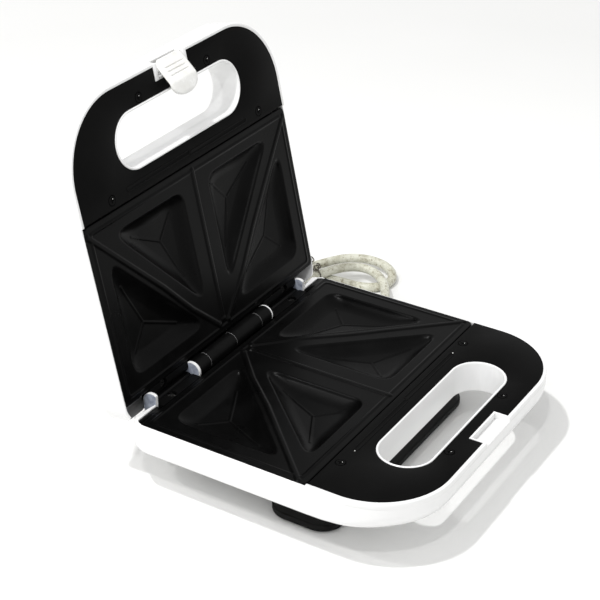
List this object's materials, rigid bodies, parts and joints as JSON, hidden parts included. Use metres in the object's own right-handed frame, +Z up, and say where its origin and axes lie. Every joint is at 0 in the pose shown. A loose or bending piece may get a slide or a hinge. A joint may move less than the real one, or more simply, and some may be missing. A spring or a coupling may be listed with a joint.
{
  "type": "sandwich toaster",
  "caption": "Countertop sandwich toaster with a hinged lid, cast non-stick plates with triangular pockets, a grip hole in each handle, a swinging front latch and a tied-up mains lead.",
  "frame": {"origin": "middle of the footprint of base and open lid, on the floor, on the middle plane of the body", "axes": "X along the hinge, -Y towards the handle, +Y towards the mains lead, +Z up; the lid is open on its stop"},
  "size_m": [0.3356, 0.306, 0.2432],
  "materials": {
    "white_plastic": "gloss",
    "black_panel": "satin, fine texture",
    "nonstick": "black non-stick coating, satin",
    "black_plastic": "satin",
    "screw_steel": "blackened",
    "pin_steel": "drawn",
    "heater_steel": "oxidised",
    "tray_steel": "rolled sheet",
    "bobbin_phenolic": "moulded phenolic",
    "ceramic": "glazed",
    "rubber_pad": "matt",
    "lead_sheath": "soft, slightly dirty",
    "tie_wire": "coated wire",
    "plug_brass": "plated",
    "latch_white": "gloss, slightly aged",
    "lamp_glass": "neon lamp",
    "lens_red": "clear tinted"
  },
  "bodies": {
    "base": {"base_shell": "white_plastic", "base_handle_panel": "black_panel", "base_panel_screws": "screw_steel", "lower_plate": "nonstick", "lower_plate_screws": "screw_steel", "lower_heater": "heater_steel", "lower_heater_clamps": "tray_steel", "lower_heat_tray": "tray_steel", "tray_posts": "bobbin_phenolic", "thermostat": "ceramic", "terminal_block": "ceramic", "front_foot": "black_plastic", "rear_foot": "black_plastic", "foot_screws": "screw_steel", "foot_pads": "rubber_pad", "base_hinge_bracket": "black_plastic", "base_hinge_screws": "screw_steel", "hinge_pin": "pin_steel", "inner_lead": "lead_sheath", "cord_clamp": "black_plastic", "strain_relief": "lead_sheath", "mains_cord": "lead_sheath", "cord_hank": "lead_sheath", "cord_tie": "tie_wire", "plug_body": "lead_sheath", "plug_pins": "plug_brass"},
    "lid": {"lid_shell": "white_plastic", "lid_handle_panel": "black_panel", "lid_panel_screws": "screw_steel", "upper_plate": "nonstick", "upper_plate_screws": "screw_steel", "upper_heater": "heater_steel", "upper_heater_clamps": "tray_steel", "upper_heat_tray": "tray_steel", "lid_tray_posts": "bobbin_phenolic", "thermal_fuse": "tray_steel", "lid_hinge_bracket": "black_plastic", "lid_hinge_screws": "screw_steel", "neon_lamps": "lamp_glass", "lamp_lenses": "lens_red", "latch_pin": "pin_steel"},
    "latch": {"latch": "latch_white"}
  },
  "joints": [
    {"name": "lid_hinge", "type": "hinge", "parent": "base", "child": "lid", "pos_m": [0, 0.06779, 0.0505], "axis": [1, 0, 0], "range_deg": [0, 101.8]},
    {"name": "latch_hinge", "type": "hinge", "parent": "lid", "child": "latch", "pos_m": [0, 0.10921, 0.23799], "axis": [-1, 0, 0], "range_deg": [0, 135]}
  ],
  "couplings": [
    {"joint": "latch_hinge", "follows": "lid_hinge", "ratio": 1.326}
  ]
}
